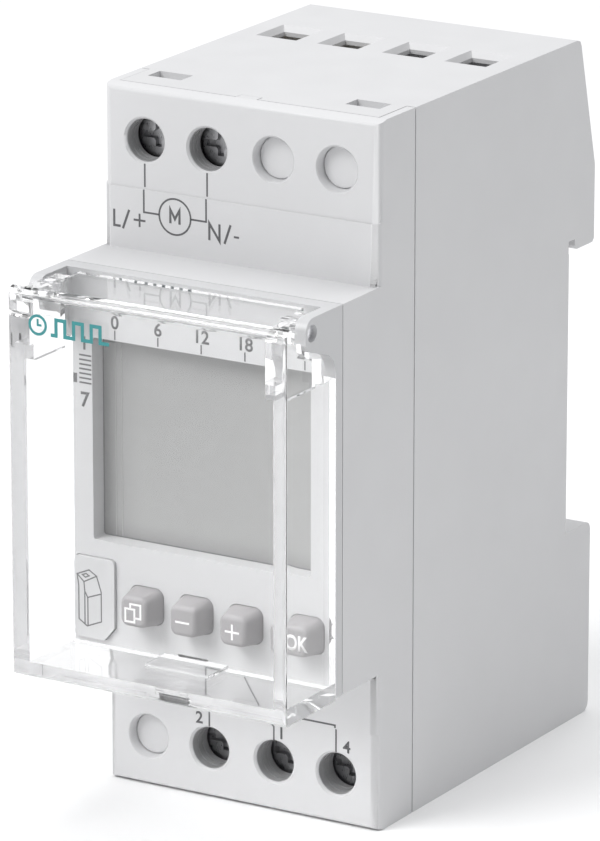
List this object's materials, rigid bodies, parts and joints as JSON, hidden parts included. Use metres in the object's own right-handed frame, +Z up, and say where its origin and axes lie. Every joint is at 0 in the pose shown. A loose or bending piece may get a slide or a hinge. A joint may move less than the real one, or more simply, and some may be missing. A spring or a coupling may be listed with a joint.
{
  "type": "din rail timer",
  "caption": "Digital time switch for a top-hat rail: grey-white housing with a clear flip-up cover over a display and push buttons, screw terminals above and below.",
  "frame": {"origin": "centre of the rail seat plane, at the middle of the rail notch and of the device's width", "axes": "+X to the right as seen from the front, +Y towards the rail and wall, +Z up"},
  "size_m": [0.0358, 0.0696, 0.0826],
  "materials": {
    "housing_plastic": "fine moulded texture",
    "bezel_plastic": "satin gloss moulding",
    "clear_cover": "clear moulded polycarbonate",
    "pin_steel": "bright drawn",
    "button_rubber": "soft matt",
    "display_glass": "reflective grey display",
    "light_guide_plastic": "milky",
    "elastomer": "soft matt",
    "circuit_board": "solder mask",
    "chip_plastic": "moulded epoxy",
    "tinned_metal": "satin",
    "connector_plastic": "moulded",
    "relay_plastic": "moulded",
    "capacitor_yellow": "satin",
    "capacitor_sleeve": "shrink sleeve",
    "varistor_blue": "epoxy dip",
    "choke_copper": "enamelled wire",
    "busbar_brass": "satin",
    "screw_steel": "zinc plated",
    "cage_steel": "passivated",
    "guide_plastic": "moulded",
    "latch_plastic": "moulded",
    "spring_steel": "drawn wire"
  },
  "bodies": {
    "housing": {"rear_housing": "housing_plastic", "front_cap": "housing_plastic", "bezel": "bezel_plastic", "hinge_pin_left": "pin_steel", "hinge_pin_right": "pin_steel", "lcd_glass": "display_glass", "light_guide": "light_guide_plastic", "contact_strip": "elastomer", "display_board": "circuit_board", "controller_chip": "chip_plastic", "crystal": "tinned_metal", "coin_cell": "tinned_metal", "key_contacts": "connector_plastic", "dome_switches": "tinned_metal", "board_header": "connector_plastic", "main_board": "circuit_board", "relay": "relay_plastic", "film_capacitor": "capacitor_yellow", "electrolytic_capacitor": "capacitor_sleeve", "varistor": "varistor_blue", "choke": "choke_copper", "busbars": "busbar_brass", "screw_guide_top": "guide_plastic", "screw_guide_bottom": "guide_plastic", "latch_spring": "spring_steel"},
    "cover": {"flip_cover": "clear_cover"},
    "button_menu": {"button_menu": "button_rubber"},
    "button_minus": {"button_minus": "button_rubber"},
    "button_plus": {"button_plus": "button_rubber"},
    "button_ok": {"button_ok": "button_rubber"},
    "key_plug": {"key_slot_cover": "bezel_plastic"},
    "latch": {"din_latch": "latch_plastic"},
    "screw_1": {"terminal_screw_1": "screw_steel"},
    "cage_1": {"clamp_cage_1": "cage_steel"},
    "screw_2": {"terminal_screw_2": "screw_steel"},
    "cage_2": {"clamp_cage_2": "cage_steel"},
    "screw_3": {"terminal_screw_3": "screw_steel"},
    "cage_3": {"clamp_cage_3": "cage_steel"},
    "screw_4": {"terminal_screw_4": "screw_steel"},
    "cage_4": {"clamp_cage_4": "cage_steel"},
    "screw_5": {"terminal_screw_5": "screw_steel"},
    "cage_5": {"clamp_cage_5": "cage_steel"}
  },
  "joints": [
    {"name": "cover_hinge", "type": "hinge", "parent": "housing", "child": "cover", "pos_m": [0, -0.05773, 0.02076], "axis": [-1, 0, 0], "range_deg": [0, 120]},
    {"name": "press_menu", "type": "slide", "parent": "housing", "child": "button_menu", "axis": [0, 1, 0], "range_m": [0, 0.0006], "stiffness_N_per_m": 2500, "springref_m": -0.0004},
    {"name": "press_minus", "type": "slide", "parent": "housing", "child": "button_minus", "axis": [0, 1, 0], "range_m": [0, 0.0006], "stiffness_N_per_m": 2500, "springref_m": -0.0004},
    {"name": "press_plus", "type": "slide", "parent": "housing", "child": "button_plus", "axis": [0, 1, 0], "range_m": [0, 0.0006], "stiffness_N_per_m": 2500, "springref_m": -0.0004},
    {"name": "press_ok", "type": "slide", "parent": "housing", "child": "button_ok", "axis": [0, 1, 0], "range_m": [0, 0.0006], "stiffness_N_per_m": 2500, "springref_m": -0.0004},
    {"name": "key_plug_pull", "type": "slide", "parent": "housing", "child": "key_plug", "axis": [0, -1, 0], "range_m": [0, 0.006]},
    {"name": "screw_1_turn", "type": "hinge", "parent": "housing", "child": "screw_1", "pos_m": [-0.0125, -0.0385, 0.0352], "axis": [0, 1, 0], "range_deg": [0, 1800]},
    {"name": "cage_1_rise", "type": "slide", "parent": "housing", "child": "cage_1", "axis": [0, -1, 0], "range_m": [0, 0.0035]},
    {"name": "screw_2_turn", "type": "hinge", "parent": "housing", "child": "screw_2", "pos_m": [-0.0043, -0.0385, 0.0352], "axis": [0, 1, 0], "range_deg": [0, 1800]},
    {"name": "cage_2_rise", "type": "slide", "parent": "housing", "child": "cage_2", "axis": [0, -1, 0], "range_m": [0, 0.0035]},
    {"name": "screw_3_turn", "type": "hinge", "parent": "housing", "child": "screw_3", "pos_m": [-0.0043, -0.0385, -0.0352], "axis": [0, 1, 0], "range_deg": [0, 1800]},
    {"name": "cage_3_rise", "type": "slide", "parent": "housing", "child": "cage_3", "axis": [0, -1, 0], "range_m": [0, 0.0035]},
    {"name": "screw_4_turn", "type": "hinge", "parent": "housing", "child": "screw_4", "pos_m": [0.0043, -0.0385, -0.0352], "axis": [0, 1, 0], "range_deg": [0, 1800]},
    {"name": "cage_4_rise", "type": "slide", "parent": "housing", "child": "cage_4", "axis": [0, -1, 0], "range_m": [0, 0.0035]},
    {"name": "screw_5_turn", "type": "hinge", "parent": "housing", "child": "screw_5", "pos_m": [0.0125, -0.0385, -0.0352], "axis": [0, 1, 0], "range_deg": [0, 1800]},
    {"name": "cage_5_rise", "type": "slide", "parent": "housing", "child": "cage_5", "axis": [0, -1, 0], "range_m": [0, 0.0035]},
    {"name": "latch_pull", "type": "slide", "parent": "housing", "child": "latch", "axis": [0, 0, -1], "range_m": [0, 0.0035], "stiffness_N_per_m": 2000, "springref_m": -0.0015, "deforming": ["latch_spring"]}
  ],
  "couplings": [
    {"joint": "screw_1_turn", "follows": "cage_1_rise", "rad_per_m": 8975.9},
    {"joint": "screw_2_turn", "follows": "cage_2_rise", "rad_per_m": 8975.9},
    {"joint": "screw_3_turn", "follows": "cage_3_rise", "rad_per_m": 8975.9},
    {"joint": "screw_4_turn", "follows": "cage_4_rise", "rad_per_m": 8975.9},
    {"joint": "screw_5_turn", "follows": "cage_5_rise", "rad_per_m": 8975.9}
  ]
}
